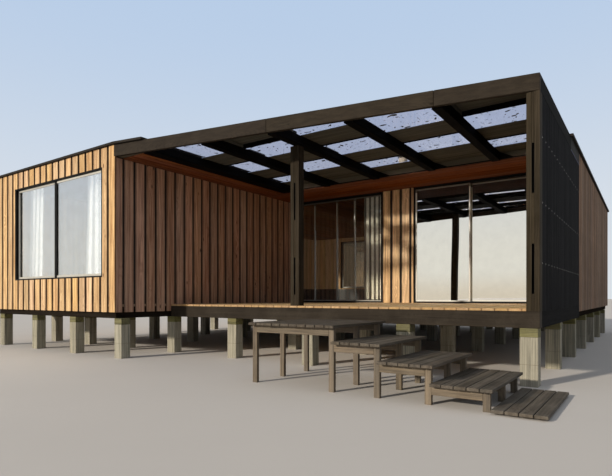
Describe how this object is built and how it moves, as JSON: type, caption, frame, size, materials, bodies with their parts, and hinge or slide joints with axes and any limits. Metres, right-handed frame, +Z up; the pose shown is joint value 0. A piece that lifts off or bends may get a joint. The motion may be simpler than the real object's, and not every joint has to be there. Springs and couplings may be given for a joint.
{
  "type": "beach house",
  "caption": "L-shaped flat-roofed timber beach house on piles with a covered corner deck, glazed canopy, sliding door and beach steps.",
  "frame": {"origin": "middle of the base of the bounding box, on the ground", "axes": "+X to the right along the front, +Y from the front to the back, +Z up"},
  "size_m": [11.72, 13.761, 4.491],
  "materials": {
    "pile_wood": "weathered sawn softwood, grey with a green tint",
    "pile_cap_wood": "pressure-treated packer, olive green",
    "dark_timber": "planed timber with a dark olive-brown stain",
    "rafter_timber": "planed timber with a near-black stain",
    "black_timber": "black-stained timber",
    "frame_wood": "sawn softwood",
    "deck_wood": "oiled deck boards, warm tan",
    "floor_wood": "matt lacquered boards",
    "cladding": "upright sawn boards, warm tan to brown",
    "soffit_wood": "red-brown stained boards",
    "canopy_board": "stained sheet, dark olive",
    "step_wood": "weathered deck boards, grey-brown",
    "roof_felt": "roofing felt with fine grit",
    "roof_edge": "folded sheet with dark matt paint",
    "dark_frame": "powder coated, near black",
    "pale_frame": "powder coated, pale warm grey",
    "rail_metal": "white lacquer",
    "flue_metal": "pale beige enamel",
    "curtain_cloth": "loose woven off-white linen",
    "glass": "clear double glazing",
    "roof_glass": "clear toughened sheet with leaf litter on top"
  },
  "bodies": {
    "house": {"canopy_fascia": "dark_timber", "canopy_glass": "roof_glass", "canopy_panels": "canopy_board", "canopy_rafters": "rafter_timber", "curtain_rails": "rail_metal", "curtains": "curtain_cloth", "deck_boards": "deck_wood", "deck_joists": "frame_wood", "door_head_beam": "cladding", "door_wall_piers": "cladding", "fixed_leaf": "pale_frame", "fixed_leaf_glass": "glass", "floor_bearers": "frame_wood", "floor_left": "floor_wood", "floor_main": "floor_wood", "flue": "flue_metal", "folding_door_frame": "dark_frame", "folding_door_glass": "glass", "folding_door_leaves": "pale_frame", "front_beam": "dark_timber", "front_wall": "cladding", "glazing_bars": "rafter_timber", "left_wall": "cladding", "mid_post": "dark_timber", "pile_caps": "pile_cap_wood", "piles": "pile_wood", "plinth_beams": "black_timber", "porch_wall": "cladding", "rear_wall": "cladding", "right_post": "dark_timber", "right_wall": "cladding", "roof_left": "roof_felt", "roof_main": "roof_felt", "roof_trim": "roof_edge", "side_beam": "black_timber", "side_screen": "black_timber", "sliding_door_frame": "dark_frame", "soffit": "soffit_wood", "step_frames": "frame_wood", "step_treads": "step_wood", "window_frames": "dark_frame", "window_glass": "glass", "window_sashes": "pale_frame"},
    "terrace_door": {"moving_leaf": "pale_frame", "moving_leaf_glass": "glass"}
  },
  "joints": [
    {"name": "terrace_door_slide", "type": "slide", "parent": "house", "child": "terrace_door", "axis": [-1, 0, 0], "range_m": [0, 1.06]}
  ]
}
